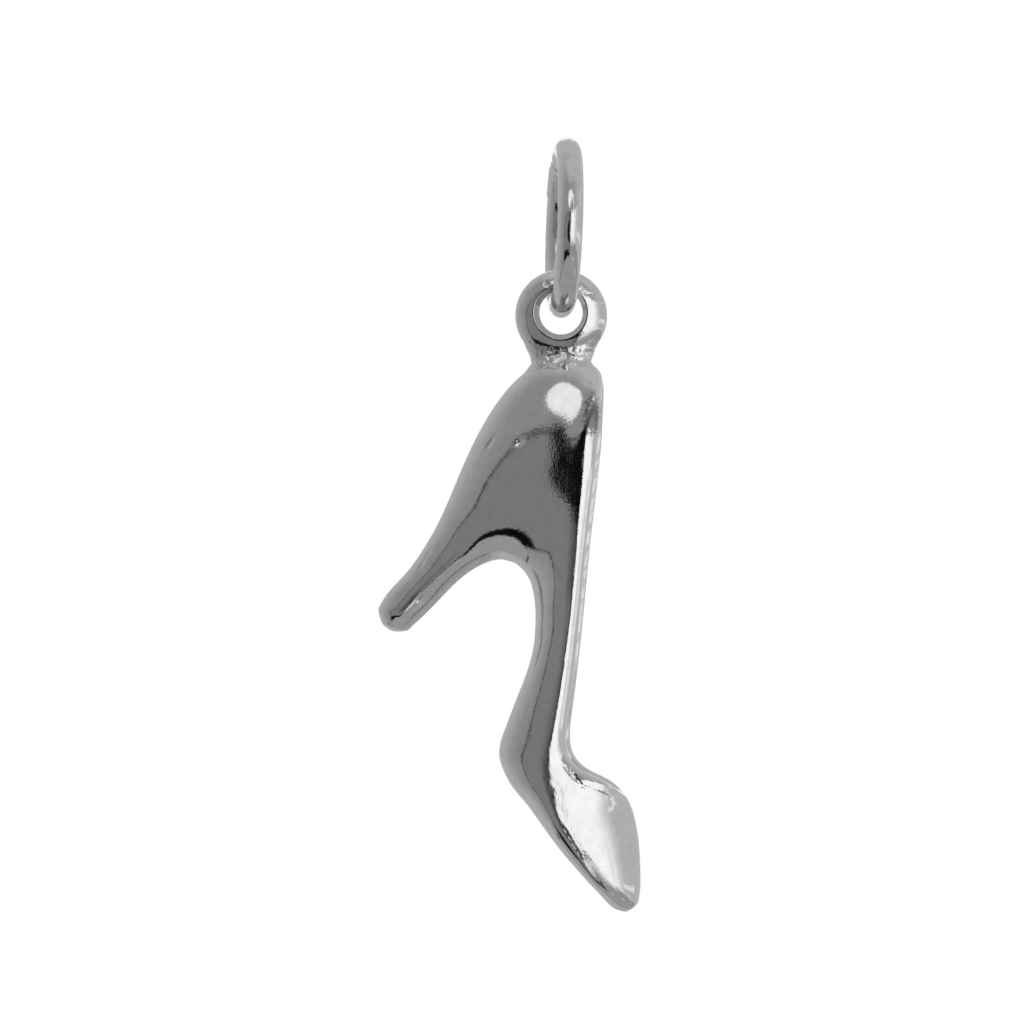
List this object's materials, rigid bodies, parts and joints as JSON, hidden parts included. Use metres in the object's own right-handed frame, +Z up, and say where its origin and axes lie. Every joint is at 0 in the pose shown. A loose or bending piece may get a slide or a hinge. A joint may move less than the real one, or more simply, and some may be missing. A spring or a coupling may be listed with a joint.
{
  "type": "shoe charm",
  "caption": "Polished high-heeled court shoe charm with an eye soldered to its heel counter, swinging on an open jump ring.",
  "frame": {"origin": "centre of the jump ring", "axes": "+Z up the hang, from the toe to the jump ring; +Y through the eye's bore, away from the side that is seen; +X from the heel's side to the toe's side"},
  "size_m": [0.0073, 0.005, 0.0213],
  "materials": {
    "shoe": "polished",
    "eye": "polished",
    "solder": "satin",
    "ring": "polished"
  },
  "bodies": {
    "ring": {"jump_ring": "ring"},
    "charm": {"shoe_casting": "shoe", "hanging_eye": "eye", "solder_joint": "solder"}
  },
  "joints": [
    {"name": "charm_swing", "type": "hinge", "parent": "ring", "child": "charm", "pos_m": [-0.00008, 0, -0.00215], "axis": [0, 1, 0], "range_deg": [-150, 140]}
  ]
}
